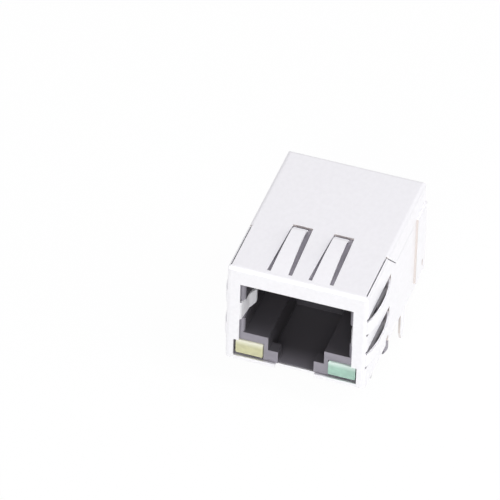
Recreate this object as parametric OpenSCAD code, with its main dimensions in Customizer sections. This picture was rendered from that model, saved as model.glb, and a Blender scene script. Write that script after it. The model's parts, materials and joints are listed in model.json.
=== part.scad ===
// RJ45 board jack with a folded sheet shield, two indicator lamps and built-in line transformers.
// X runs across the port, +Y runs from the port to the rear, +Z runs up from the board.
// The origin lies on the board, half way between the two locating posts.
// Inside the modules, y counts from the shield's front face and z from the shield's bottom edge.

/* [Shield] */
// Width over the two side walls
shield_w = 16; // [15.8:0.1:17]
// Depth from the front face to the rear face
shield_d = 21; // [20.8:0.1:23]
// Height from the bottom edge to the top face
shield_h = 12.85; // [12.7:0.05:14]
// Thickness of the shield sheet
sheet_t = 0.25; // [0.2:0.01:0.28]
// Outer radius of the bends
bend_r = 0.5; // [0.4:0.05:0.6]
// Space between the board and the shield's bottom edge
seat_gap = 0.45; // [0.3:0.05:0.7]
// Width of the slits between folded panels
seam_w = 0.12; // [0.08:0.01:0.16]
// Depth of the side lips that fold down from the rear of the top panel
lip_h = 2.9; // [2.5:0.1:3.2]
// Length of the rear ears along the side walls
ear_len = 3.55; // [2.5:0.05:4]

/* [Shield springs] */
// Length of a grounding finger's window
finger_len = 8.2; // [7:0.1:9]
// Height of a side finger's window
side_window_h = 2.5; // [2.2:0.05:2.6]
// Width of a top finger's window at its root
top_window_w = 2.85; // [2.5:0.05:3]
// Slot beside a finger
finger_slot = 0.4; // [0.3:0.05:0.5]
// How far the side fingers bow outwards
side_bow = 0.68; // [0.4:0.02:1]
// How far the top fingers rise
top_rise = 0.8; // [0.5:0.05:1.1]
// Height of the plug grounding spring on each side of the port
plug_spring_h = 2.35; // [2:0.05:2.6]
// How far the plug grounding springs reach into the port
plug_spring_reach = 0.7; // [0.4:0.05:0.9]

/* [Port] */
// Width of the plug opening
port_w = 11.9; // [11.7:0.05:12.1]
// Height of the plug opening
port_h = 6.9; // [6.7:0.05:7]
// Height of the port floor over the shield's bottom edge
port_floor = 3.6; // [3.4:0.05:3.7]
// Depth of the port, from the front face to the rear comb
port_d = 12; // [11.6:0.1:12.2]
// Width of the upper latch step
step_w = 6.4; // [6:0.05:6.6]
// Height of the latch step's floor over the shield's bottom edge
step_floor = 1.84; // [1.6:0.02:2]
// Width of the latch notch
notch_w = 4.1; // [4.06:0.01:4.3]
// Height of the latch notch's floor over the shield's bottom edge
notch_floor = 0.32; // [0.31:0.01:0.4]
// Thickness of the frame that the latch hooks behind
latch_frame_t = 1.45; // [1.2:0.05:1.8]
// Chamfer round the plug opening
mouth_chamfer = 0.28; // [0.15:0.01:0.35]

/* [Contacts] */
// Distance between neighbouring contact wires
contact_pitch = 1.016; // [1:0.001:1.03]
// Diameter of a contact wire
contact_d = 0.42; // [0.36:0.01:0.46]
// Distance of the contact folds behind the front face
fold_y = 3.3; // [3.2:0.05:3.8]
// Radius of the contact fold, at the wire's middle
fold_r = 0.62; // [0.58:0.01:0.65]
// Slope of the free contact arm
arm_slope = 17; // [15:0.5:19]

/* [Board side] */
// Distance between neighbouring pins, measured across the jack
pin_pitch = 1.27; // [1.25:0.01:1.28]
// Distance between the two pin rows
row_pitch = 2.54; // [2.4:0.01:2.6]
// Distance of the front pin row behind the locating posts
pins_behind_posts = 6.35; // [6.2:0.05:6.4]
// Thickness of the square signal pins
pin_t = 0.46; // [0.4:0.01:0.5]
// Length of the signal pins below the board's top face
pin_tail = 3.55; // [3.2:0.05:4]
// Distance between the locating posts
post_spacing = 11.43; // [11.3:0.01:11.5]
// Distance of the locating posts behind the front face
post_y = 10.8; // [10.6:0.05:10.9]
// Radius of a locating post
post_r = 1.6; // [1.5:0.01:1.65]
// Length of a locating post below the board's top face
post_len = 3.2; // [2.8:0.1:3.4]
// Distance of the ground tabs behind the locating posts
ground_tab_behind = 3.05; // [2.9:0.05:3.4]
// Width of a ground tab
ground_tab_w = 1.4; // [1.2:0.05:1.5]
// Length of a ground tab below the board's top face
ground_tab_len = 3.4; // [3:0.1:3.6]

/* [Lamps] */
// Width of an indicator lamp
lamp_w = 3.1; // [2.9:0.05:3.15]
// Height of an indicator lamp
lamp_h = 1.8; // [1.6:0.05:1.85]
// Distance from the jack's middle to a lamp's middle
lamp_x = 5.3; // [5.25:0.01:5.35]
// Height of a lamp's underside over the shield's bottom edge
lamp_z = 0.7; // [0.65:0.05:0.75]
// Distance between the two leads of one lamp
lead_spacing = 2.54; // [2.5:0.01:2.56]
// Thickness of a lamp lead
lead_t = 0.5; // [0.4:0.01:0.5]
// Distance of the lamp leads in front of the locating posts
lead_before_posts = 4.1; // [4:0.05:4.3]
// Length of the lamp leads below the board's top face
lead_tail = 3.85; // [3.4:0.05:4.2]

/* [Filter parts] */
// Thickness of the filter board
filter_t = 0.8; // [0.6:0.1:1]
// Mean radius of a toroid core
core_mean_r = 0.95; // [0.9:0.01:1]
// Radius of a toroid core's section
core_r = 0.44; // [0.4:0.01:0.46]
// Diameter of the winding wire
winding_d = 0.15; // [0.12:0.01:0.16]
// Turns on each toroid
winding_turns = 10; // [8:1:11]

/* [Hidden] */
SIDES = [-1, 1];
CONTACTS = [1:8];
PINS = [1:8];
TOROIDS = [1:4];
RESISTORS = [1:4];
LEAD_NAMES = ["yellow_lead_outer", "yellow_lead_inner", "green_lead_inner", "green_lead_outer"];

$fn = 40;
wire_fn = 16;
over = 1;                 // how far a cutting shape runs past a face
fit = 0.05;               // clearance between a moulding and its neighbour
hole_fit = 0.03;          // clearance round a pin in its hole

// Moulded housing
front_setback = 0.19;     // from the back of the front panel to the moulding
comb_fit = 0.1;
comb_slot_d = 0.9;
comb_h = 3.8;
bulkhead_t = 0.6;
room_wall = 0.75;
base_t = 1.6;
roof_t = 0.55;
latch_wall = 1.5;
rib_len = 5;
rib_inset = 0.2;
flute_r = 0.85;
flute_web = 0.2;          // wall between a post's two flutes
post_chamfer = 0.15;
house_w = shield_w - 2 * sheet_t - 2 * fit;
house_front = sheet_t + front_setback;
house_rear = shield_d - sheet_t - fit;
house_top = shield_h - sheet_t - fit;
house_edge = bend_r - sheet_t + 2 * fit;
port_top = port_floor + port_h;
comb_slot_w = contact_d + 2 * comb_fit;
bulkhead_rear = port_d + comb_slot_d + bulkhead_t;
room_w = house_w - 2 * room_wall;
recess_h = sheet_t + fit;
row_y = post_y + pins_behind_posts;
latch_room_rear = port_d - latch_wall;

// Shield cut-outs, from the port and the lamps
frame_show = 0.49;        // moulding that shows beside the port
window_over = 0.15;       // moulding that shows over the port
window_bottom = 0.4;
lamp_rim = 0.2;
lamp_over = 0.17;
lamp_under = 0.3;
notch_show = 0.2;
flange_d = 2.3;
flange_inset = 0.6;
flange_taper = 0.7;
window_w = port_w + 2 * frame_show;
window_top = port_top + window_over;
lamp_outer = lamp_x + lamp_w / 2;
lamp_window_x = lamp_outer + lamp_rim;
lamp_window_top = lamp_z + lamp_h + lamp_over;
flange_w = shield_w - 2 * flange_inset;

// Shield springs
finger_root = 0.9;
side_finger_root = 0.25;
root_lap = 0.2;
tip_gap = 0.3;
upper_window_drop = 5.6;
lower_window_z = 2.6;
finger_taper = 0.3;
top_window_taper = 0.29;
top_finger_x = 2.35;
top_crest = 0.86;         // where a top finger is highest, along its length
plug_spring_up = 2.03;
plug_spring_taper = 0.42;
spring_bend_y = 2.1;
spring_crest_y = 3.2;
spring_end_y = 4.2;
spring_gap_fit = 0.15;
upper_window_z = shield_h - upper_window_drop;
plug_spring_z = port_floor + plug_spring_up;
spring_room_y = spring_end_y + 0.4;

// Shield folds
seam_len = 7.3;
ear_bottom = 1;
ear_lap = 0.25;
rear_bottom = 0.9;
fold_tab_w = 1.25;
fold_tab_reach = 2.3;
relief_w = 0.85;
relief_h = 0.9;
ground_tab_flare = 0.3;
ear_top = shield_h - lip_h + ear_lap;
fold_tab_front = post_y - fold_tab_reach;
ground_tab_y = post_y + ground_tab_behind;
fold_tab_rear = ground_tab_y - ground_tab_w / 2 - ground_tab_flare - fit;
lock_slot = [0.3, 1];
lock_slot_at = [1.45, 0.8];

// Contacts
run_over_port = 0.85;
tooth_gap = 0.14;
tooth_drop = 0.35;
insert_side = 0.65;
tail_reach = 0.6;
contact_run_z = port_top + run_over_port;
fold_mid_y = fold_y + fold_r;
arm_end_y = port_d + comb_slot_d / 2;
arm_start = [fold_mid_y - fold_r * sin(arm_slope), contact_run_z - fold_r - fold_r * cos(arm_slope)];
arm_len = (arm_end_y - arm_start[0]) / cos(arm_slope);
insert_w = 8 * contact_pitch + 2 * insert_side;
insert_front = fold_mid_y;
insert_floor = port_top + fit;
insert_roof = house_top - roof_t - fit;
tooth_w = contact_pitch - contact_d - tooth_gap;
tooth_front = fold_y - fold_r / 3;

// Filter board and what it carries
low_leg_up = 0.95;
leg_step = 1.4;
pin_point = 1.1;
parts_up = 1.3;
capacitor = [4.5, 1.5, 2];
capacitor_inset = 0.5;
resistor = [0.8, 0.45, 1.6];
resistor_pitch = 1.5;
first_resistor_x = -0.7;
winding_gap = 0.01;
filter_front = bulkhead_rear + fit;
filter_rear = filter_front + filter_t;
filter_w = room_w - 2 * fit;
filter_top = house_top - roof_t - fit;
tail_end_y = filter_rear + tail_reach;
low_leg_z = base_t + low_leg_up;
high_leg_z = low_leg_z + leg_step;
parts_z = high_leg_z + pin_t / 2 + parts_up;
toroid_out = core_mean_r + core_r + 2 * winding_d;
toroid_z = parts_z + capacitor[2] / 2 + winding_d + toroid_out;
toroid_pitch = (filter_w - 2 * toroid_out - capacitor_inset / 2) / 3;
toroid_y = filter_rear + core_r + winding_d + winding_gap;

// Pin carrier
carrier_lead = 0.2;       // moulding in front of a pin row
carrier_end = 1;
carrier_wall_t = 0.6;
end_slot_w = 0.9;
end_slot_d = 0.35;
carrier_front = row_y - carrier_lead;
carrier_bar = row_y + row_pitch - carrier_lead;
teeth_w = 9 * pin_pitch;
carrier_w = teeth_w + 2 * carrier_end;
carrier_wall = house_rear - carrier_wall_t;

// Lamps
lamp_edge_r = 0.15;
lead_slot_fit = 0.12;
lead_chamfer = 0.1;
lamp_behind_lead = 0.4;
lamp_front = sheet_t;
lamp_rear = lead_y() - lamp_behind_lead;
lead_z = lamp_z + lamp_h / 2;
lead_room_y = lead_y() + lead_t / 2 + 2.5 * lead_slot_fit;
lead_end = lead_tail + seat_gap;

function lead_y() = post_y - lead_before_posts;
function contact_x(i) = (i - 4.5) * contact_pitch;
function pin_x(i) = (4.5 - i) * pin_pitch;
function pin_y(i) = row_y + (i % 2) * row_pitch;
function lead_x(i) = (i < 2 ? -lamp_x : lamp_x) + (i % 2 - 0.5) * lead_spacing;
function toroid_x(i) = (i - 2.5) * toroid_pitch;

// Outline of a strip of width w along a line of points
function line_side(p, w) = [
    for (i = [0:len(p) - 1])
        let (a = p[max(i - 1, 0)], b = p[min(i + 1, len(p) - 1)], t = (b - a) / norm(b - a))
            p[i] + w / 2 * [-t[1], t[0]]
];
function reversed(p) = [for (i = [len(p) - 1:-1:0]) p[i]];
function strip(p, w) = concat(line_side(p, w), reversed(line_side(p, -w)));

// Height of a bowed side finger over its wall, and of a top finger over its panel
function side_curve(s) = side_bow * pow(sin(180 * s), 0.6);
function top_curve(s) =
    s < top_crest ? top_rise * sin(90 * s / top_crest)
                  : top_rise * (1 - pow((s - top_crest) / (1 - top_crest), 1.6));

// Puts a shape drawn from the front face and bottom edge into the part's frame
module place() translate([0, -post_y, seat_gap]) children();

// A box between two corners
module block(low, high) translate(low) cube(high - low);

// Extrudes a drawing in Y and Z across the jack, from x0 over length w
module across(x0, w) translate([x0, 0, 0]) rotate([90, 0, 90]) linear_extrude(w) children();

// Extrudes a drawing in X and Z towards the rear, from y0 over length d
module rearwards(y0, d) translate([0, y0 + d, 0]) rotate([90, 0, 0]) linear_extrude(d) children();

// A rectangle with round corners
module round_rect(low, high, r) {
    translate([low[0] + r, low[1]]) square([high[0] - low[0] - 2 * r, high[1] - low[1]]);
    translate([low[0], low[1] + r]) square([high[0] - low[0], high[1] - low[1] - 2 * r]);
    for (x = [low[0] + r, high[0] - r], y = [low[1] + r, high[1] - r])
        translate([x, y]) circle(r);
}

// A rectangle whose two upper corners are cut off
module cut_corner_rect(low, high, c)
    polygon([
        low, [high[0], low[1]], [high[0], high[1] - c], [high[0] - c, high[1]],
        [low[0] + c, high[1]], [low[0], high[1] - c]
    ]);

// ---------------------------------------------------------------- housing

module housing_block() intersection() {
    linear_extrude(house_top)
        cut_corner_rect([-house_w / 2, house_front], [house_w / 2, house_rear], house_edge);
    rearwards(house_front, house_rear - house_front)
        cut_corner_rect([-house_w / 2, 0], [house_w / 2, house_top], house_edge);
    across(-house_w / 2, house_w)
        cut_corner_rect([house_front, 0], [house_rear, house_top], house_edge);
}

// The plug opening: main port, latch step and latch notch
module port_cavity() {
    block([-port_w / 2, -over, port_floor], [port_w / 2, port_d, port_top]);
    block([-step_w / 2, -over, step_floor], [step_w / 2, latch_room_rear, port_floor + over]);
    block([-notch_w / 2, -over, notch_floor], [notch_w / 2, latch_room_rear, port_floor]);
    block(
        [-step_w / 2, house_front + latch_frame_t, notch_floor],
        [step_w / 2, latch_room_rear, port_floor]
    );
}

// Chamfers along the roof, the sides and the notch floor of the port's mouth
module mouth_chamfers() translate([0, house_front, 0]) {
    translate([0, 0, port_top]) across(-port_w / 2, port_w)
        polygon([[-over, 0], [mouth_chamfer, 0], [-over, mouth_chamfer + over]]);
    for (side = SIDES) scale([side, 1, 1]) {
        translate([port_w / 2, 0, port_floor]) linear_extrude(port_h + mouth_chamfer)
            polygon([[0, -over], [mouth_chamfer + over, -over], [0, mouth_chamfer]]);
    }
    translate([0, 0, notch_floor]) across(-notch_w / 2, notch_w)
        polygon([[-over, 0], [-over, -notch_floor], [0, -notch_floor * 0.7], [mouth_chamfer, 0]]);
}

// Slots in the rear wall of the port that keep the contact tips apart
module contact_comb()
    for (i = CONTACTS) translate([contact_x(i), 0, 0])
        block(
            [-comb_slot_w / 2, port_d - over, port_top - comb_h],
            [comb_slot_w / 2, port_d + comb_slot_d, port_top]
        );

// The opening in each side of the frame that the plug grounding spring passes through
module spring_gap(side)
    scale([side, 1, 1])
        block(
            [port_w / 2 - over, -over, plug_spring_z - spring_gap_fit],
            [shield_w / 2, spring_room_y, plug_spring_z + plug_spring_h + spring_gap_fit]
        );

module lamp_channel(side) scale([side, 1, 1]) {
    block(
        [lamp_x - lamp_w / 2 - fit, -over, lamp_z - lamp_under],
        [lamp_outer + lamp_rim, house_front + house_edge + lamp_rim, lamp_z + lamp_h + fit]
    );
    block(
        [lamp_x - lamp_w / 2 - fit, -over, lamp_z - fit],
        [lamp_outer + fit, lead_room_y, lamp_z + lamp_h + fit]
    );
}

// The slots under a lamp that let its leads in from the front
module lead_slots(side)
    for (x = [-lead_spacing / 2, lead_spacing / 2])
        block(
            [side * lamp_x + x - lead_t / 2 - lead_slot_fit, flange_d + 3 * fit, -over],
            [side * lamp_x + x + lead_t / 2 + lead_slot_fit, lead_room_y, lamp_z + over / 2]
        );

// The bed that the shield's front flange lies in
module flange_bed() translate([0, 0, -over]) linear_extrude(over + recess_h) {
    half = flange_w / 2 + 2 * fit;
    polygon([
        [-half, sheet_t], [half, sheet_t],
        [half - flange_taper, flange_d + fit], [flange_taper - half, flange_d + fit]
    ]);
}

// The bed that a folded side tab lies in
module fold_tab_bed(side) scale([side, 1, 1])
    block(
        [shield_w / 2 - fold_tab_w - fit, fold_tab_front - fit, -over],
        [shield_w / 2, fold_tab_rear + fit, recess_h]
    );

// Space for the contact insert over the port
module insert_channel()
    block(
        [-insert_w / 2 - fit, tooth_front - fit, port_top - over / 2],
        [insert_w / 2 + fit, bulkhead_rear + over, insert_roof + fit]
    );

// Room for the filter parts, open to the rear
module rear_room()
    block([-room_w / 2, bulkhead_rear, base_t], [room_w / 2, shield_d, house_top - roof_t]);

// A half round rib that stands the jack off its board
module standoff_rib(side)
    translate([side * (post_spacing / 2 - rib_inset), post_y - post_r / 2 - rib_len, 0]) rotate([-90, 0, 0])
        cylinder(r = seat_gap, h = rib_len);

// A locating post with two flutes at its front
module locating_post(side) translate([side * post_spacing / 2, post_y, -seat_gap - post_len]) difference() {
    union() {
        cylinder(r1 = post_r - post_chamfer, r2 = post_r, h = 2 * post_chamfer);
        translate([0, 0, 2 * post_chamfer])
            cylinder(r = post_r, h = seat_gap + post_len - 2 * post_chamfer + fit);
    }
    for (flute = SIDES) translate([flute * (flute_r + flute_web / 2), -post_r + post_chamfer, -over])
        cylinder(r = flute_r, h = seat_gap + post_len + over);
}

module housing() color("#3a3a40") place() {
    difference() {
        housing_block();
        port_cavity();
        mouth_chamfers();
        contact_comb();
        for (side = SIDES) {
            spring_gap(side);
            lamp_channel(side);
            lead_slots(side);
            fold_tab_bed(side);
        }
        flange_bed();
        insert_channel();
        rear_room();
        carrier_opening();
    }
    for (side = SIDES) {
        standoff_rib(side);
        locating_post(side);
    }
}

// ------------------------------------------------------------ pin carrier

// Footprint of the carrier: end blocks, one tooth to each front pin, and a rear bar
module carrier_plan(grow) {
    translate([-carrier_w / 2 - grow, carrier_bar - grow])
        square([carrier_w + 2 * grow, house_rear - carrier_bar + grow]);
    for (i = PINS)
        if (i % 2 == 0)
            translate([pin_x(i) - pin_pitch / 2 - grow, carrier_front - grow])
                square([pin_pitch + 2 * grow, carrier_bar - carrier_front + 2 * grow]);
    for (side = SIDES) scale([side, 1])
        translate([teeth_w / 2 - grow, carrier_front - grow])
            square([carrier_end + 2 * grow, carrier_bar - carrier_front + 2 * grow]);
}

module carrier_opening()
    translate([0, 0, -over]) linear_extrude(base_t + 2 * over) {
        carrier_plan(seam_w / 2);
        translate([-carrier_w / 2, house_rear - over / 2]) square([carrier_w, 2 * over]);
    }

module pin_carrier() color("#3f3f45") place() difference() {
    union() {
        linear_extrude(base_t) carrier_plan(0);
        block([-room_w / 2 + fit, carrier_wall, base_t + fit], [room_w / 2 - fit, house_rear, filter_top]);
        block([-carrier_w / 2, carrier_wall, 0], [carrier_w / 2, house_rear, base_t + over]);
    }
    for (i = PINS)
        block(
            [pin_x(i) - pin_t / 2 - hole_fit, pin_y(i) - over, -over],
            [pin_x(i) + pin_t / 2 + hole_fit, pin_y(i) + pin_t / 2 + hole_fit, base_t + over]
        );
    for (i = PINS)
        block(
            [pin_x(i) - pin_t / 2 - hole_fit, pin_y(i) - over, base_t],
            [pin_x(i) + pin_t / 2 + hole_fit, pin_y(i) + pin_t / 2 + hole_fit, high_leg_z + pin_t]
        );
    for (side = SIDES) scale([side, 1, 1])
        block(
            [teeth_w / 2 - end_slot_w / 4, carrier_front - over, -over],
            [teeth_w / 2 + end_slot_w * 3 / 4, carrier_front + end_slot_d, base_t / 2]
        );
}

// -------------------------------------------------------- contact carrier

module contact_carrier() color("#36363c") place() difference() {
    union() {
        block([-insert_w / 2, insert_front, insert_floor], [insert_w / 2, bulkhead_rear, insert_roof]);
        for (i = [0:8]) translate([(i - 4) * contact_pitch, 0, 0])
            block(
                [-tooth_w / 2, tooth_front, port_top - tooth_drop],
                [tooth_w / 2, insert_front + over, insert_roof]
            );
    }
    for (i = CONTACTS) translate([contact_x(i), insert_front - over, contact_run_z]) rotate([-90, 0, 0])
        cylinder(d = contact_d + 2 * hole_fit, h = bulkhead_rear - insert_front + 2 * over);
}

// --------------------------------------------------------------- contacts

// One contact: board tail, run over the port, fold, and the free arm
module contact(i) color("#c9a24a") place() translate([contact_x(i), 0, 0]) {
    straight_d = contact_d - 0.012;
    lap = 0.05;
    translate([0, fold_mid_y - lap, contact_run_z]) rotate([-90, 0, 0])
        cylinder(d = straight_d, h = tail_end_y - fold_mid_y + lap);
    translate([0, fold_mid_y, contact_run_z - fold_r]) rotate([90, 0, 90]) rotate([0, 0, 90])
        rotate_extrude(angle = 180 - arm_slope) translate([fold_r, 0]) circle(d = contact_d);
    translate([0, arm_start[0], arm_start[1]]) rotate([-90 - arm_slope, 0, 0]) translate([0, 0, -lap])
        cylinder(d = straight_d, h = arm_len + lap);
}

// ------------------------------------------------------------ signal pins

// A pin's side view: the leg into the filter board, and the tail with its point
module pin_side(y, leg_z, t, tail, point) polygon([
    [filter_front, leg_z - t / 2], [filter_front, leg_z + t / 2], [y + t / 4, leg_z + t / 2],
    [y + t / 2, leg_z + t / 4], [y + t / 2, point - tail], [y + t / 8, -tail],
    [y - t / 8, -tail], [y - t / 2, point - tail], [y - t / 2, leg_z - t / 2]
]);

// A pin's front view, pointed at its lower end
module pin_face(t, tail, point, top) polygon([
    [-t / 2, top], [-t / 2, point - tail], [-t / 8, -tail],
    [t / 8, -tail], [t / 2, point - tail], [t / 2, top]
]);

module signal_pin(i) color("#a9a9ad") place() translate([pin_x(i), 0, 0]) intersection() {
    leg_z = i % 2 == 0 ? low_leg_z : high_leg_z;
    across(-pin_t / 2, pin_t) pin_side(pin_y(i), leg_z, pin_t, pin_tail + seat_gap, pin_point);
    rearwards(0, shield_d) pin_face(pin_t, pin_tail + seat_gap, pin_point, shield_h);
}

// ------------------------------------------------------------------ lamps

module lamp(side) place() scale([side, 1, 1]) intersection() {
    block([lamp_x - lamp_w / 2, lamp_front, lamp_z], [lamp_outer, lamp_rear, lamp_z + lamp_h]);
    rearwards(lamp_front - over, lamp_rear + 2 * over)
        round_rect([lamp_x - lamp_w / 2, lamp_z], [lamp_outer, lamp_z + lamp_h], lamp_edge_r);
}

module yellow_lamp() color("#dcdc94") lamp(-1);
module green_lamp() color("#96d7b9") lamp(1);

module lamp_lead(i) color("#cfcfd2") place()
    across(lead_x(i) - lead_t / 2, lead_t) polygon([
        [lamp_rear, lead_z - lead_t / 2], [lamp_rear, lead_z + lead_t / 2],
        [lead_y() + lead_t / 4, lead_z + lead_t / 2], [lead_y() + lead_t / 2, lead_z + lead_t / 4],
        [lead_y() + lead_t / 2, lead_chamfer - lead_end], [lead_y() + lead_t / 2 - lead_chamfer, -lead_end],
        [lead_y() - lead_t / 2 + lead_chamfer, -lead_end], [lead_y() - lead_t / 2, lead_chamfer - lead_end],
        [lead_y() - lead_t / 2, lead_z - lead_t / 2]
    ]);

// ----------------------------------------------------------- filter parts

module filter_board() color("#2f6b45") place() difference() {
    block([-filter_w / 2, filter_front, base_t + fit], [filter_w / 2, filter_rear, filter_top]);
    for (i = CONTACTS) translate([contact_x(i), filter_front - over, contact_run_z]) rotate([-90, 0, 0])
        cylinder(d = contact_d + 2 * hole_fit, h = filter_t + 2 * over);
    for (i = PINS) translate([pin_x(i), filter_front - over, i % 2 == 0 ? low_leg_z : high_leg_z])
        rotate([-90, 0, 0]) cylinder(d = pin_t * sqrt(2) + 2 * hole_fit, h = filter_t + 2 * over);
}

module toroid_core(i) color("#3b3b3b") place() translate([toroid_x(i), toroid_y, toroid_z])
    rotate([90, 0, 0]) rotate_extrude() translate([core_mean_r, 0]) circle(core_r, $fn = wire_fn * 2);

// Separate turns of wire round the core
module toroid_winding(i) color("#b5622e") place() translate([toroid_x(i), toroid_y, toroid_z])
    rotate([90, 0, 0]) for (k = [0:winding_turns - 1]) rotate([0, 0, (k + 0.5) * 360 / winding_turns])
        translate([core_mean_r, 0, 0]) rotate([90, 0, 0])
            rotate_extrude() translate([core_r + winding_d / 2 + winding_gap, 0])
                circle(d = winding_d, $fn = wire_fn);

module high_voltage_capacitor() color("#b08a5a") place()
    translate([-filter_w / 2 + capacitor_inset, filter_rear, parts_z - capacitor[2] / 2]) cube(capacitor);

module chip_resistor(i) color("#1e1e20") place()
    translate([first_resistor_x + (i - 1) * resistor_pitch, filter_rear, parts_z - resistor[2] / 2])
        cube(resistor);

// ----------------------------------------------------------------- shield

// The folded case as a solid body, drawn a distance inside its outer face
module case_body(inset, bottom) intersection() {
    r = bend_r - inset;
    w = shield_w / 2 - inset;
    translate([0, 0, bottom]) linear_extrude(shield_h - inset - bottom)
        round_rect([-w, inset], [w, shield_d - inset], r);
    across(-w, 2 * w) round_rect([inset, bottom - over], [shield_d - inset, shield_h - inset], r);
    rearwards(inset, shield_d - 2 * inset) round_rect([-w, bottom - over], [w, shield_h - inset], r);
}

// The front cut-out: port frame, lamps, and latch notch through the bottom bend
module front_window() {
    rearwards(-over, over + bend_r) {
        translate([-window_w / 2, window_bottom]) square([window_w, window_top - window_bottom]);
        translate([-lamp_window_x, window_bottom])
            square([2 * lamp_window_x, lamp_window_top - window_bottom]);
    }
    block(
        [-notch_w / 2 - notch_show, -over, -over],
        [notch_w / 2 + notch_show, house_front + 0.1, window_bottom + over]
    );
}

// A cut through both side walls, from one drawing in Y and Z
module through_sides()
    for (side = SIDES) across(side * (shield_w / 2 - sheet_t / 2) - over, 2 * over) children();

module side_window(z) through_sides() translate([side_finger_root, z]) square([finger_len, side_window_h]);

module top_window(side) translate([side * top_finger_x, 0, shield_h - bend_r]) linear_extrude(bend_r + over)
    polygon([
        [-top_window_w / 2, finger_root], [top_window_w / 2, finger_root],
        [top_window_w / 2 - top_window_taper, finger_root + finger_len],
        [-top_window_w / 2 + top_window_taper, finger_root + finger_len]
    ]);

// The slit between the top panel and a side wall: along the edge, down at 45 degrees, then rearwards
module panel_seam(side) {
    scale([side, 1, 1])
        block(
            [shield_w / 2 - sheet_t - seam_w, bend_r, shield_h - bend_r],
            [shield_w / 2 - sheet_t, seam_len + seam_w, shield_h + over]
        );
    across(side * (shield_w / 2 - sheet_t / 2) - sheet_t, 2 * sheet_t) {
        slant_w = seam_w * sqrt(2);
        slant_end = seam_len + lip_h - sheet_t;
        polygon([
            [seam_len, shield_h + over], [seam_len + slant_w, shield_h + over],
            [seam_len + slant_w, shield_h - sheet_t], [slant_end + slant_w, shield_h - lip_h],
            [slant_end, shield_h - lip_h], [seam_len, shield_h - sheet_t]
        ]);
        translate([slant_end, shield_h - lip_h - seam_w / 2])
            square([shield_d - slant_end - bend_r, seam_w / 2]);
    }
}

module side_finger(side, z) scale([side, 1, 1]) intersection() {
    w = side_window_h - 2 * finger_slot;
    n = 12;
    path = [for (k = [0:n])
        [shield_w / 2 - sheet_t / 2 + side_curve(k / n), side_finger_root + k / n * (finger_len - tip_gap)]];
    translate([0, 0, z]) linear_extrude(side_window_h) polygon(strip(path, sheet_t));
    across(shield_w / 2 - over, 3 * over) polygon([
        [0, z + finger_slot], [side_finger_root + finger_len, z + finger_slot + finger_taper],
        [side_finger_root + finger_len, z + finger_slot + w - finger_taper / 3], [0, z + finger_slot + w]
    ]);
}

module top_finger(side) intersection() {
    w = top_window_w / 2 - finger_slot;
    n = 14;
    path = [for (k = [0:n])
        [finger_root - root_lap + k / n * (finger_len - tip_gap), shield_h - sheet_t / 2 + top_curve(k / n)]];
    across(side * top_finger_x - top_window_w / 2, top_window_w) polygon(strip(path, sheet_t));
    translate([side * top_finger_x, 0, shield_h - over]) linear_extrude(3 * over) polygon([
        [-w, 0], [w, 0], [w - top_window_taper, finger_root + finger_len],
        [-w + top_window_taper, finger_root + finger_len]
    ]);
}

// The spring that grounds the plug's own shield: it leans in, then curls back at its tip
module plug_spring(side) scale([side, 1, 1]) intersection() {
    root = window_w / 2 + sheet_t / 2;
    crest = root - root_lap - plug_spring_reach;
    path = [
        [root + root_lap, sheet_t / 2], [root - root_lap / 2, sheet_t / 2], [root - root_lap, sheet_t],
        [crest + plug_spring_reach * 0.65, spring_bend_y], [crest, spring_crest_y],
        [crest, spring_crest_y + sheet_t], [crest + plug_spring_reach * 0.9, spring_end_y]
    ];
    translate([0, 0, plug_spring_z]) linear_extrude(plug_spring_h) polygon(strip(path, sheet_t));
    across(0, shield_w) polygon([
        [0, plug_spring_z], [spring_end_y + over, plug_spring_z + plug_spring_taper],
        [spring_end_y + over, plug_spring_z + plug_spring_h - plug_spring_taper],
        [0, plug_spring_z + plug_spring_h]
    ]);
}

// The flange that folds under the housing from the front panel
module front_flange() difference() {
    linear_extrude(sheet_t) polygon([
        [-flange_w / 2, sheet_t], [flange_w / 2, sheet_t],
        [flange_w / 2 - flange_taper, flange_d], [-flange_w / 2 + flange_taper, flange_d]
    ]);
    block([-notch_w / 2 - notch_show, -over, -over], [notch_w / 2 + notch_show, house_front + 0.1, over]);
}

// A tab that folds in under the housing beside the locating post
module fold_tab(side) scale([side, 1, 1]) difference() {
    block(
        [shield_w / 2 - fold_tab_w, fold_tab_front, 0],
        [shield_w / 2 - sheet_t / 2, fold_tab_rear, sheet_t]
    );
    translate([post_spacing / 2, post_y, -over]) cylinder(r = post_r + 2 * fit, h = 2 * over);
}

// A relief notch in the side wall in front of the folded tab
module fold_relief() through_sides()
    translate([fold_tab_front - relief_w, -over]) square([relief_w, over + relief_h]);

// The tab that is soldered into the board, with its round-cornered point
module ground_tab() for (side = SIDES)
    across(side * (shield_w / 2 - sheet_t / 2) - sheet_t / 2, sheet_t) {
        w = ground_tab_w / 2;
        depth = ground_tab_len + seat_gap;
        translate([ground_tab_y, 0]) polygon([
            [-w - ground_tab_flare, bend_r], [w + ground_tab_flare, bend_r], [w, -seat_gap],
            [w, 1.5 * w - depth], [w / 3, -depth], [-w / 3, -depth], [-w, 1.5 * w - depth], [-w, -seat_gap]
        ]);
    }

// The ear that wraps round a side wall from the rear panel, with its lock slot
module rear_ear(side) scale([side, 1, 1]) difference() {
    translate([0, 0, ear_bottom]) linear_extrude(ear_top - ear_bottom) difference() {
        intersection() {
            round_rect([0, 0], [shield_w / 2 + sheet_t, shield_d], bend_r);
            translate([0, shield_d - ear_len]) square([shield_w, ear_len]);
        }
        translate([-over, 0]) square([shield_w / 2 - sheet_t / 2 + over, shield_d - sheet_t / 2]);
    }
    block(
        [shield_w / 2, shield_d - lock_slot_at[0], ear_bottom + lock_slot_at[1]],
        [shield_w, shield_d - lock_slot_at[0] + lock_slot[0], ear_bottom + lock_slot_at[1] + lock_slot[1]]
    );
}

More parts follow.
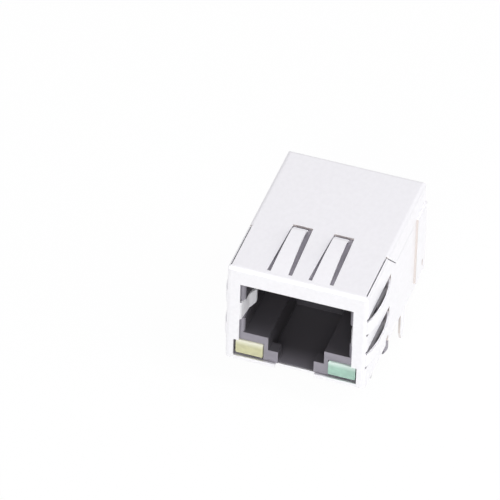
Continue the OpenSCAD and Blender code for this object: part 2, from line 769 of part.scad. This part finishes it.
module shield() color("#e8e6ea") place() {
    difference() {
        case_body(0, 0);
        case_body(sheet_t, -over);
        front_window();
        side_window(upper_window_z);
        side_window(lower_window_z);
        fold_relief();
        for (side = SIDES) {
            top_window(side);
            panel_seam(side);
        }
        block(
            [-shield_w / 2 + bend_r, shield_d - 2 * sheet_t, -over],
            [shield_w / 2 - bend_r, shield_d + over, rear_bottom]
        );
    }
    for (side = SIDES) {
        side_finger(side, upper_window_z);
        side_finger(side, lower_window_z);
        top_finger(side);
        plug_spring(side);
        fold_tab(side);
        rear_ear(side);
    }
    front_flange();
    ground_tab();
}

// ------------------------------------------------------------------ nodes

housing();
pin_carrier();
contact_carrier();
shield();
yellow_lamp();
green_lamp();
filter_board();
high_voltage_capacitor();
for (i = [0:3]) lamp_lead(i);
for (i = CONTACTS) contact(i);
for (i = PINS) signal_pin(i);
for (i = TOROIDS) toroid_core(i);
for (i = TOROIDS) toroid_winding(i);
for (i = RESISTORS) chip_resistor(i);
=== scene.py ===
"""Finishes and studio stage for an RJ45 board jack: folded sheet shield, black mouldings, lamps and wires."""

import json
import math

import bpy
import numpy as np
from bpy.props import FloatProperty, FloatVectorProperty, PointerProperty
from mathutils import Matrix, Vector


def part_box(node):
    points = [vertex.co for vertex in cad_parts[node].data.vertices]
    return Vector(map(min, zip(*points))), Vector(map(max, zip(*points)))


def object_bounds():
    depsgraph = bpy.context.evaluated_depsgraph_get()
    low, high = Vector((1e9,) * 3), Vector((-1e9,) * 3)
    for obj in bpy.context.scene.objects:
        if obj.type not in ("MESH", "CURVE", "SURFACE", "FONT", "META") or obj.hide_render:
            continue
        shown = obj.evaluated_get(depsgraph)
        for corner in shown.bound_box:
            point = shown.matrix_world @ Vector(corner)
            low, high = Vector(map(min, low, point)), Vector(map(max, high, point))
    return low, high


bl_info = {
    "name": "Board jack looks",
    "version": (1, 0, 0),
    "blender": (4, 5, 0),
    "location": "3D View > Sidebar > Board jack",
    "description": "Finishes a shielded board jack and sets it on a pale studio floor",
    "category": "Object",
}

MM = 0.001
BODY = "root"
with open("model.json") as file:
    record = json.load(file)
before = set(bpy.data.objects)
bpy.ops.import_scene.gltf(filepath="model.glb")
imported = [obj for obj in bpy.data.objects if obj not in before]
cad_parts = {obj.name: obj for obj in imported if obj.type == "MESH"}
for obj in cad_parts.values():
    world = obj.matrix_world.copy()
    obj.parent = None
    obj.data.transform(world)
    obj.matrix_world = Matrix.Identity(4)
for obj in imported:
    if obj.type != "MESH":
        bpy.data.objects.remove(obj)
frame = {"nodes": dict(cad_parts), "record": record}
CAD_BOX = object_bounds()
OPENINGS = {o["name"]: o["box_m"] for o in frame["record"]["physics"]["openings"]}
FINGER_SILLS = (3.05, 7.7)      # height of the side windows' lower edges, in millimetres
FINGER_SPAN = (-7.8, -1.4)      # from behind the fingers' roots to their tips, in millimetres


def nodes_like(*stems):
    """Names of the CAD nodes that are one of the stems, or start with one of them and a number."""
    names = sorted(frame["nodes"])
    return [n for n in names if n in stems or n.rstrip("0123456789") in [s + "_" for s in stems]]


# ---------------------------------------------------------------- settings


def color_setting(name, default, description):
    return FloatVectorProperty(name=name, description=description, subtype="COLOR", size=3,
                               min=0, max=1, default=default)


def length_setting(name, default, description):
    return FloatProperty(name=name, description=description, subtype="DISTANCE", unit="LENGTH",
                         min=0, default=default, precision=6)


def share_setting(name, default, description):
    return FloatProperty(name=name, description=description, subtype="FACTOR", min=0, max=1, default=default)


class JackFinishSettings(bpy.types.PropertyGroup):
    """Colours and roughness of the jack's materials."""

    sheet_color: color_setting("Sheet", (0.93, 0.925, 0.945), "Plated faces of the shield")
    cut_color: color_setting("Cut edge", (0.82, 0.76, 0.72), "Bare copper alloy on the shield's cut edges")
    sheet_roughness: share_setting("Sheet roughness", 0.40, "Roughness of the plated sheet")
    sheet_metallic: share_setting("Sheet metallic", 0.75, "How much of the sheet's light is mirrored")
    grain_depth: length_setting("Grain depth", 0.0006 * MM, "Depth of the rolled grain")
    outer_plastic: color_setting("Outer moulding", (0.27, 0.255, 0.29), "Textured outer faces of the housing")
    # Painted shade: a dark copy of the housing plastic for the port's walls, the comb and the space under the side
    # fingers
    port_shade_plastic: color_setting("Port moulding", (0.068, 0.064, 0.073), "Painted shade in the port, on the comb and under the side fingers")
    carrier_plastic: color_setting("Inserts", (0.23, 0.22, 0.245), "Pin carrier; the contact carrier takes the painted port shade")
    plastic_roughness: share_setting("Moulding roughness", 0.45, "Roughness of the textured mouldings")
    yellow_lens: color_setting("Yellow lamp", (0.55, 0.54, 0.32), "Body of the yellow lamp")
    green_lens: color_setting("Green lamp", (0.34, 0.54, 0.44), "Body of the green lamp")
    gold: color_setting("Contacts", (0.84, 0.68, 0.44), "Gold plating on the contact wires")
    tin: color_setting("Signal pins", (0.55, 0.54, 0.56), "Tin plating on the signal pins")
    lead_silver: color_setting("Lamp leads", (0.78, 0.78, 0.79), "Plating on the lamp leads")


class JackStageSettings(bpy.types.PropertyGroup):
    """Camera, lamps and floor."""

    azimuth: FloatProperty(name="Azimuth", description="Turn of the camera round the jack, from the front",
                           subtype="ANGLE", unit="ROTATION", default=math.radians(17.48))
    elevation: FloatProperty(name="Elevation", description="Height of the camera over the horizon",
                             subtype="ANGLE", unit="ROTATION", default=math.radians(40.66))
    roll: FloatProperty(name="Roll", description="Turn of the camera about its own axis",
                        subtype="ANGLE", unit="ROTATION", default=math.radians(1.86))
    distance: length_setting("Distance", 0.8224, "From the camera to the jack's front lower edge")
    focal_length: FloatProperty(name="Focal length", description="Focal length in millimetres on a 36 mm sensor",
                                subtype="DISTANCE_CAMERA", min=1, default=544.5)
    aim_left: length_setting("Aim left", 4.79 * MM, "Picture's middle, left of the front lower edge's middle")
    aim_up: length_setting("Aim up", 13.29 * MM, "Picture's middle, over the front lower edge's middle")
    floor_color: color_setting("Floor", (0.86, 0.86, 0.87), "Pale floor and backdrop")
    key_power: FloatProperty(name="Key power", description="Power of the large front lamp", subtype="POWER",
                             unit="POWER", min=0, default=0.78)
    side_power: FloatProperty(name="Side power", description="Power of the lamp on the right", subtype="POWER",
                              unit="POWER", min=0, default=0.55)
    top_power: FloatProperty(name="Top power", description="Power of the lamp over the right side", subtype="POWER",
                             unit="POWER", min=0, default=0.55)
    world_level: FloatProperty(name="World level", description="Brightness of the studio around the jack",
                               min=0, default=0.45)


# ---------------------------------------------------------------- materials


class Tree:
    """A small helper that adds and links shader nodes in one material or world."""

    def __init__(self, owner):
        owner.use_nodes = True
        self.nodes = owner.node_tree.nodes
        self.links = owner.node_tree.links
        self.nodes.clear()

    def add(self, kind, inputs=None, **settings):
        node = self.nodes.new(kind)
        for key, value in settings.items():
            setattr(node, key, value)
        for key, value in (inputs or {}).items():
            self.feed(node.inputs[key], value)
        return node

    def feed(self, socket, value):
        if isinstance(value, bpy.types.NodeSocket):
            self.links.new(value, socket)
        elif socket.type == "RGBA" and len(value) == 3:
            socket.default_value = (*value, 1)
        else:
            socket.default_value = value

    def math(self, operation, a, b=0.0, c=0.0):
        node = self.add("ShaderNodeMath", operation=operation)
        for socket, value in zip(node.inputs, (a, b, c)):
            self.feed(socket, value)
        return node.outputs[0]

    def vector(self, operation, a, b=None, out="Vector"):
        node = self.add("ShaderNodeVectorMath", operation=operation)
        self.feed(node.inputs[0], a)
        if b is not None:
            self.feed(node.inputs[1], b)
        return node.outputs[out]

    def millimetres(self):
        """Object coordinates in millimetres."""
        place = self.add("ShaderNodeTexCoord").outputs["Object"]
        return self.vector("MULTIPLY", place, (1 / MM,) * 3)

    def normal(self):
        """The unit normal in object directions, which the jack's objects share with the world."""
        return self.add("ShaderNodeNewGeometry").outputs["True Normal"]

    def split(self, vector):
        return self.add("ShaderNodeSeparateXYZ", {0: vector}).outputs

    def noise(self, place, stretch, detail=3.0, roughness=0.5):
        """Noise with the given number of lumps to a millimetre along X, Y and Z."""
        scaled = self.vector("MULTIPLY", place, stretch)
        inputs = {"Vector": scaled, "Scale": 1.0, "Detail": detail, "Roughness": roughness}
        return self.add("ShaderNodeTexNoise", inputs).outputs["Fac"]

    def span(self, value, low, high, new_low=0.0, new_high=1.0):
        """Maps low..high onto new_low..new_high, clamped."""
        inputs = {"Value": value, "From Min": low, "From Max": high, "To Min": new_low, "To Max": new_high}
        return self.add("ShaderNodeMapRange", inputs).outputs["Result"]

    def mix(self, share, a, b):
        node = self.add("ShaderNodeMix", data_type="RGBA")
        self.feed(node.inputs["Factor"], share)
        self.feed(node.inputs[6], a)
        self.feed(node.inputs[7], b)
        return node.outputs[2]

    def inside(self, place, low, high, soft=0.05):
        """1 inside the box from low to high, in millimetres, and 0 outside, with a soft edge."""
        middle = [(a + b) / 2 for a, b in zip(low, high)]
        half = [(b - a) / 2 for a, b in zip(low, high)]
        away = self.vector("ABSOLUTE", self.vector("SUBTRACT", place, middle))
        x, y, z = self.split(self.vector("SUBTRACT", away, half))
        furthest = self.math("MAXIMUM", self.math("MAXIMUM", x, y), z)
        return self.span(furthest, -soft, soft, 1.0, 0.0)

    def horizon_dip(self, steep):
        """The given level for steep rays, and 0.7 for level ones, so upright faces keep their form from the side."""
        rise = self.split(self.add("ShaderNodeNewGeometry").outputs["Incoming"])[2]
        return self.span(self.math("ABSOLUTE", rise), 0.05, 0.45, 0.7, steep)

    def bump(self, height, distance, edge=None):
        """A bump of the given depth, on edges rounded to the given radius."""
        inputs = {"Height": height, "Distance": distance, "Strength": 1.0}
        if edge:
            bevel = self.add("ShaderNodeBevel", {"Radius": edge}, samples=4)
            inputs["Normal"] = bevel.outputs["Normal"]
        return self.add("ShaderNodeBump", inputs).outputs["Normal"]

    def surface(self, **inputs):
        """Ends the tree in a Principled shader. Names are its sockets with underscores for spaces."""
        shader = self.add("ShaderNodeBsdfPrincipled", {k.replace("_", " "): v for k, v in inputs.items()})
        self.links.new(shader.outputs[0], self.add("ShaderNodeOutputMaterial").inputs["Surface"])


def sheet_metal(finish):
    """Bright plated sheet: rolled grain along Y, soft plating ripples, and warm bare metal on the cut edges.

    The plug springs, inside the port's frame, have a duller skin.
    """
    material = bpy.data.materials.new("plated sheet")
    t = Tree(material)
    place = t.millimetres()
    grain = t.noise(place, (26, 1.2, 26), detail=4)
    ripple = t.noise(place, (2.2, 1.5, 2.2), detail=2)
    low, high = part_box("shield")
    along = t.split(place)[1]
    facing = t.math("ABSOLUTE", t.split(t.normal())[1])
    behind_front = t.span(along, low.y / MM + 0.9, low.y / MM + 1.0)
    before_rear = t.span(along, high.y / MM - 1.0, high.y / MM - 0.9, 1.0, 0.0)
    cut = t.math("MULTIPLY", t.span(facing, 0.85, 0.95), t.math("MULTIPLY", behind_front, before_rear))
    plated = t.mix(t.span(ripple, 0.3, 0.7), finish.sheet_color, [c * 0.97 for c in finish.sheet_color])
    port_low, port_high = [[v / MM for v in corner] for corner in OPENINGS["port_mouth"]]
    wall = port_high[0] + 0.95
    spring = t.inside(place, (-wall, low.y / MM + 0.3, port_low[2]), (wall, low.y / MM + 5, port_high[2]), 0.02)
    mirrored = t.span(spring, 0, 1, finish.sheet_metallic, 0.05)
    base = finish.sheet_roughness
    rough = t.span(t.math("ADD", t.math("MULTIPLY", grain, 0.6), t.math("MULTIPLY", ripple, 0.4)),
                   0.3, 0.7, base - 0.05, base + 0.07)
    t.surface(Base_Color=t.mix(cut, plated, finish.cut_color), Metallic=mirrored, Roughness=rough,
              Normal=t.bump(grain, finish.grain_depth, edge=0.05 * MM))
    return material


def moulding(name, outer, inner, finish, boxes=(), front=None):
    """Moulded plastic: a fine spark-eroded texture outside; inside the boxes, smoother faces darkened to the inner
    colour as painted shade.

    Faces that look forward stay textured and free of the painted shade down to a millimetre behind front, the
    moulding's foremost face.
    """
    material = bpy.data.materials.new(name)
    t = Tree(material)
    place = t.millimetres()
    texture = t.noise(place, (9, 9, 9), detail=3, roughness=0.6)
    flow = t.noise(place, (0.35, 0.5, 0.7), detail=2)
    color = t.mix(t.span(flow, 0.35, 0.65), outer, [c * 0.86 for c in outer])
    rough = t.span(texture, 0.3, 0.7, finish.plastic_roughness - 0.06, finish.plastic_roughness + 0.08)
    # Painted shade: inside the boxes the colour darkens to inner, standing in for the port's shade and the shadow under
    # the side fingers; the faces there are also a little smoother
    smooth_and_shade = 0.0
    for low, high in boxes:
        smooth_and_shade = t.math("MAXIMUM", smooth_and_shade, t.inside(place, low, high))
    if boxes:
        forward = t.span(t.split(t.normal())[1], -0.8, -0.6, 1.0, 0.0)
        near = t.span(t.split(place)[1], front + 0.9, front + 1.0, 1.0, 0.0)
        smooth_and_shade = t.math("MULTIPLY", smooth_and_shade, t.math("SUBTRACT", 1.0, t.math("MULTIPLY", forward, near)))
        color = t.mix(smooth_and_shade, color, inner)
        x, y, z = t.split(place)
        # Painted light: low in the port, over the first few millimetres behind front, the colour is pulled back towards
        # the outer colour
        lit = t.math("MULTIPLY", t.span(y, front + 0.4, front + 3.2, 0.4, 0.0), t.span(z, boxes[0][0][2] + 0.3, boxes[0][0][2] + 0.5, 1.0, 0.0))
        color = t.mix(lit, color, outer)
        rough = t.math("SUBTRACT", rough, t.math("MULTIPLY", smooth_and_shade, 0.1))
    t.surface(Base_Color=color, Roughness=rough, Normal=t.bump(texture, 0.004 * MM, edge=0.05 * MM))
    return material


def smooth_and_shade_boxes(front):
    """Boxes of painted shade: the port's own walls from just behind the front face, and a painted shadow behind each
    side finger's lower edge.
    """
    low, high = OPENINGS["latch_notch"][0], OPENINGS["port_mouth"][1]
    port_half = high[0] / MM + 0.62
    port_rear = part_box("contact_carrier")[1].y / MM
    boxes = [((-port_half, front + 0.03, low[2] / MM - 0.12), (port_half, port_rear, high[2] / MM + 0.17))]
    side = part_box("housing")[1].x / MM
    # Painted shadow under each side finger, along its window's lower edge
    for sill in FINGER_SILLS:
        for inner, outer in ((-side - 0.1, -side + 0.5), (side - 0.5, side + 0.1)):
            boxes.append(((inner, FINGER_SPAN[0], sill - 0.2), (outer, FINGER_SPAN[1], sill + 0.75)))
    return boxes


def lamp_plastic(name, tint, node):
    """Diffuse lamp resin: paler at its top edge as a painted highlight, mottled inside, under a glossy skin."""
    material = bpy.data.materials.new(name)
    t = Tree(material)
    place = t.millimetres()
    low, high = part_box(node)
    rise = t.span(t.split(place)[2], low.z / MM, high.z / MM)
    cloud = t.noise(place, (1.1, 1.6, 1.9), detail=2)
    # Painted highlight: the tint lifted halfway to white, blended in over the lamp's upper part and most at its top
    # edge
    pale = [0.5 + 0.5 * c for c in tint]
    color = t.mix(t.span(rise, 0.62, 0.95, 0.0, 0.75), t.mix(t.span(cloud, 0.35, 0.65), tint,
                  [c * 0.86 for c in tint]), pale)
    t.surface(Base_Color=color, Roughness=0.28, IOR=1.53, Subsurface_Weight=0.25,
              Subsurface_Radius=(0.5 * MM, 0.5 * MM, 0.5 * MM), Subsurface_Scale=1.0, Coat_Weight=0.4,
              Coat_Roughness=0.12, Normal=t.bump(cloud, 0.003 * MM, edge=0.06 * MM))
    return material


def wire_metal(name, color, roughness, drawn):
    """Drawn or stamped wire with fine scratches; drawn is the lumps to a millimetre along X, Y and Z."""
    material = bpy.data.materials.new(name)
    t = Tree(material)
    place = t.millimetres()
    scratch = t.noise(place, drawn, detail=3)
    stain = t.noise(place, (1.3, 1.3, 1.3), detail=2)
    shade = t.mix(t.span(stain, 0.3, 0.7), color, [c * 0.88 for c in color])
    t.surface(Base_Color=shade, Metallic=0.85, Roughness=t.span(scratch, 0.3, 0.7, roughness - 0.06, roughness + 0.08),
              Normal=t.bump(scratch, 0.0012 * MM))
    return material


def plain_part(name, color, roughness, metallic=0.0, lumps=6.0):
    """A small inner part with a fine mottled surface."""
    material = bpy.data.materials.new(name)
    t = Tree(material)
    mottle = t.noise(t.millimetres(), (lumps,) * 3, detail=3)
    shade = t.mix(t.span(mottle, 0.3, 0.7), color, [c * 0.8 for c in color])
    t.surface(Base_Color=shade, Metallic=metallic, Roughness=roughness, Normal=t.bump(mottle, 0.004 * MM))
    return material


def dress(names, material):
    """Gives CAD nodes one material and leaves their meshes as they are."""
    for name in names:
        mesh = frame["nodes"][name].data
        mesh.materials.clear()
        mesh.materials.append(material)


# ---------------------------------------------------------------- operators


class JACK_OT_shield(bpy.types.Operator):
    """Finish the folded shield as bright plated sheet"""

    bl_idname = "jack.shield"
    bl_label = "Shield"

    def execute(self, context):
        dress(["shield"], sheet_metal(context.scene.jack_finish))
        return {"FINISHED"}


class JACK_OT_mouldings(bpy.types.Operator):
    """Finish the housing and its two inserts as moulded plastic"""

    bl_idname = "jack.mouldings"
    bl_label = "Mouldings"

    def execute(self, context):
        finish = context.scene.jack_finish
        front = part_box("housing")[0].y / MM
        dress(["housing"], moulding("housing plastic", finish.outer_plastic, finish.port_shade_plastic, finish,
                                    smooth_and_shade_boxes(front), front))
        dress(["pin_carrier"], moulding("carrier plastic", finish.carrier_plastic, finish.port_shade_plastic, finish))
        # Painted shade: the comb, deep in the port, takes the dark port colour all over
        dress(["contact_carrier"], moulding("comb plastic", finish.port_shade_plastic, finish.port_shade_plastic, finish))
        return {"FINISHED"}


class JACK_OT_lamps(bpy.types.Operator):
    """Finish the two indicator lamps and their leads"""

    bl_idname = "jack.lamps"
    bl_label = "Lamps"

    def execute(self, context):
        finish = context.scene.jack_finish
        dress(["yellow_lamp"], lamp_plastic("yellow lamp resin", finish.yellow_lens, "yellow_lamp"))
        dress(["green_lamp"], lamp_plastic("green lamp resin", finish.green_lens, "green_lamp"))
        leads = [n for n in frame["nodes"] if "_lead_" in n]
        dress(leads, wire_metal("lamp lead plating", finish.lead_silver, 0.22, (20, 20, 1.5)))
        return {"FINISHED"}


class JACK_OT_contacts(bpy.types.Operator):
    """Finish the contact wires and the signal pins"""

    bl_idname = "jack.contacts"
    bl_label = "Contacts and pins"

    def execute(self, context):
        finish = context.scene.jack_finish
        dress(nodes_like("contact"), wire_metal("contact gold", finish.gold, 0.22, (24, 1.5, 24)))
        dress(nodes_like("signal_pin"), wire_metal("pin tin", finish.tin, 0.34, (24, 24, 1.5)))
        return {"FINISHED"}


class JACK_OT_filter_parts(bpy.types.Operator):
    """Finish the filter board and the parts on it"""

    bl_idname = "jack.filter_parts"
    bl_label = "Filter parts"

    def execute(self, context):
        dress(["filter_board"], plain_part("board laminate", (0.05, 0.16, 0.07), 0.45))
        dress(["high_voltage_capacitor"], plain_part("capacitor ceramic", (0.42, 0.28, 0.14), 0.35))
        dress(nodes_like("toroid_core"), plain_part("ferrite", (0.045, 0.045, 0.05), 0.6))
        dress(nodes_like("toroid_winding"), plain_part("enamelled wire", (0.62, 0.22, 0.08), 0.25, 1.0))
        dress(nodes_like("resistor"), plain_part("resistor glaze", (0.02, 0.02, 0.022), 0.4))
        return {"FINISHED"}


class JACK_OT_stage(bpy.types.Operator):
    """Set up the floor, the lamps, the world and the camera"""

    bl_idname = "jack.stage"
    bl_label = "Stage"

    def execute(self, context):
        settings = context.scene.jack_stage
        make_floor(settings)
        make_world(context.scene, settings)
        make_lamps(settings)
        make_camera(context.scene, settings)
        context.scene.view_settings.view_transform = "Standard"
        return {"FINISHED"}


# ---------------------------------------------------------------- stage


def make_floor(settings):
    """A flat square at the height of the lowest lead tip, built from a two by two grid of points."""
    half = 6.0
    x, y = np.meshgrid([-half, half], [-half, half])
    points = np.stack([x, y, np.full_like(x, CAD_BOX[0].z)], axis=-1).reshape(-1, 3)
    mesh = bpy.data.meshes.new("floor")
    mesh.from_pydata(points.tolist(), [], [(0, 1, 3, 2)])
    floor = bpy.data.objects.new("floor", mesh)
    bpy.context.scene.collection.objects.link(floor)
    material = bpy.data.materials.new("pale floor")
    t = Tree(material)
    rays = t.add("ShaderNodeLightPath").outputs
    shown = t.math("MAXIMUM", rays["Is Camera Ray"], rays["Is Glossy Ray"])
    card = t.add("ShaderNodeBsdfDiffuse", {"Color": tuple(settings.floor_color)})
    level = t.math("MAXIMUM", t.horizon_dip(1.0), rays["Is Camera Ray"])
    glow = t.add("ShaderNodeEmission", {"Color": (1, 1, 1), "Strength": level})
    mix = t.add("ShaderNodeMixShader", {0: t.math("MULTIPLY", shown, 0.97)})
    t.links.new(card.outputs[0], mix.inputs[1])
    t.links.new(glow.outputs[0], mix.inputs[2])
    t.links.new(mix.outputs[0], t.add("ShaderNodeOutputMaterial").inputs["Surface"])
    mesh.materials.append(material)


def make_world(scene, settings):
    """A white surround: full white to the camera, and a plain level for everything else."""
    world = bpy.data.worlds.new("studio")
    scene.world = world
    t = Tree(world)
    rays = t.add("ShaderNodeLightPath").outputs
    lit = t.add("ShaderNodeBackground", {"Color": (0.97, 0.965, 1.0), "Strength": settings.world_level})
    mirrored = t.add("ShaderNodeBackground", {"Color": (0.965, 0.955, 0.98), "Strength": t.horizon_dip(0.88)})
    seen = t.add("ShaderNodeBackground", {"Color": (1, 1, 1), "Strength": 1.0})
    first = t.add("ShaderNodeMixShader", {0: rays["Is Glossy Ray"]})
    t.links.new(lit.outputs[0], first.inputs[1])
    t.links.new(mirrored.outputs[0], first.inputs[2])
    last = t.add("ShaderNodeMixShader", {0: rays["Is Camera Ray"]})
    t.links.new(first.outputs[0], last.inputs[1])
    t.links.new(seen.outputs[0], last.inputs[2])
    t.links.new(last.outputs[0], t.add("ShaderNodeOutputWorld").inputs["Surface"])


def area_lamp(name, place, aim, size, power):
    data = bpy.data.lights.new(name, "AREA")
    data.shape = "SQUARE"
    data.size = size
    data.energy = power
    lamp = bpy.data.objects.new(name, data)
    bpy.context.scene.collection.objects.link(lamp)
    lamp.location = place
    lamp.rotation_euler = (Vector(aim) - Vector(place)).to_track_quat("-Z", "Y").to_euler()


def make_lamps(settings):
    """A large lamp in front, one on the right and one high over the right side, all aimed at the jack."""
    aim = (CAD_BOX[0] + CAD_BOX[1]) / 2
    area_lamp("key", (0.05, -0.33, 0.2), aim, 0.22, settings.key_power)
    area_lamp("side", (0.33, -0.02, 0.2), aim, 0.22, settings.side_power)
    area_lamp("top", (0.2, -0.06, 0.33), aim, 0.12, settings.top_power)


def make_camera(scene, settings):
    """A long lens: looks along the azimuth and elevation, aimed beside the jack's front lower edge."""
    a, e, roll = settings.azimuth, settings.elevation, settings.roll
    forward = Vector((-math.sin(a) * math.cos(e), math.cos(a) * math.cos(e), -math.sin(e)))
    level = Vector((math.cos(a), math.sin(a), 0))
    upright = level.cross(forward)
    right = math.cos(roll) * level + math.sin(roll) * upright
    up = math.cos(roll) * upright - math.sin(roll) * level
    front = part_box("shield")[0].y
    edge = next(m["pos_m"][2] for m in frame["record"]["mounts"] if m["name"] == "underside")
    start = Vector((0, front, edge))
    data = bpy.data.cameras.new("camera")
    data.sensor_width = 36
    data.lens = settings.focal_length
    data.clip_end = 10
    camera = bpy.data.objects.new("camera", data)
    scene.collection.objects.link(camera)
    camera.location = start - settings.distance * forward - settings.aim_left * right + settings.aim_up * up
    camera.rotation_euler = Matrix((right, up, -forward)).transposed().to_euler()
    scene.camera = camera


# ---------------------------------------------------------------- panel and start


OPERATORS = (JACK_OT_shield, JACK_OT_mouldings, JACK_OT_lamps, JACK_OT_contacts, JACK_OT_filter_parts,
             JACK_OT_stage)


class JACK_PT_panel(bpy.types.Panel):
    """Lists the jack's finishing steps and settings"""

    bl_label = "Board jack"
    bl_idname = "JACK_PT_panel"
    bl_space_type = "VIEW_3D"
    bl_region_type = "UI"
    bl_category = "Board jack"

    def draw(self, context):
        for operator in OPERATORS:
            self.layout.operator(operator.bl_idname)
        for settings in (context.scene.jack_finish, context.scene.jack_stage):
            for name in settings.__annotations__:
                self.layout.prop(settings, name)


CLASSES = (JackFinishSettings, JackStageSettings, *OPERATORS, JACK_PT_panel)


def register():
    for cls in CLASSES:
        bpy.utils.register_class(cls)
    bpy.types.Scene.jack_finish = PointerProperty(type=JackFinishSettings)
    bpy.types.Scene.jack_stage = PointerProperty(type=JackStageSettings)


def unregister():
    del bpy.types.Scene.jack_stage
    del bpy.types.Scene.jack_finish
    for cls in reversed(CLASSES):
        bpy.utils.unregister_class(cls)


def main():
    register()
    bpy.ops.jack.shield()
    bpy.ops.jack.mouldings()
    bpy.ops.jack.lamps()
    bpy.ops.jack.contacts()
    bpy.ops.jack.filter_parts()
    bpy.ops.jack.stage()


if __name__ == "__main__":
    main()
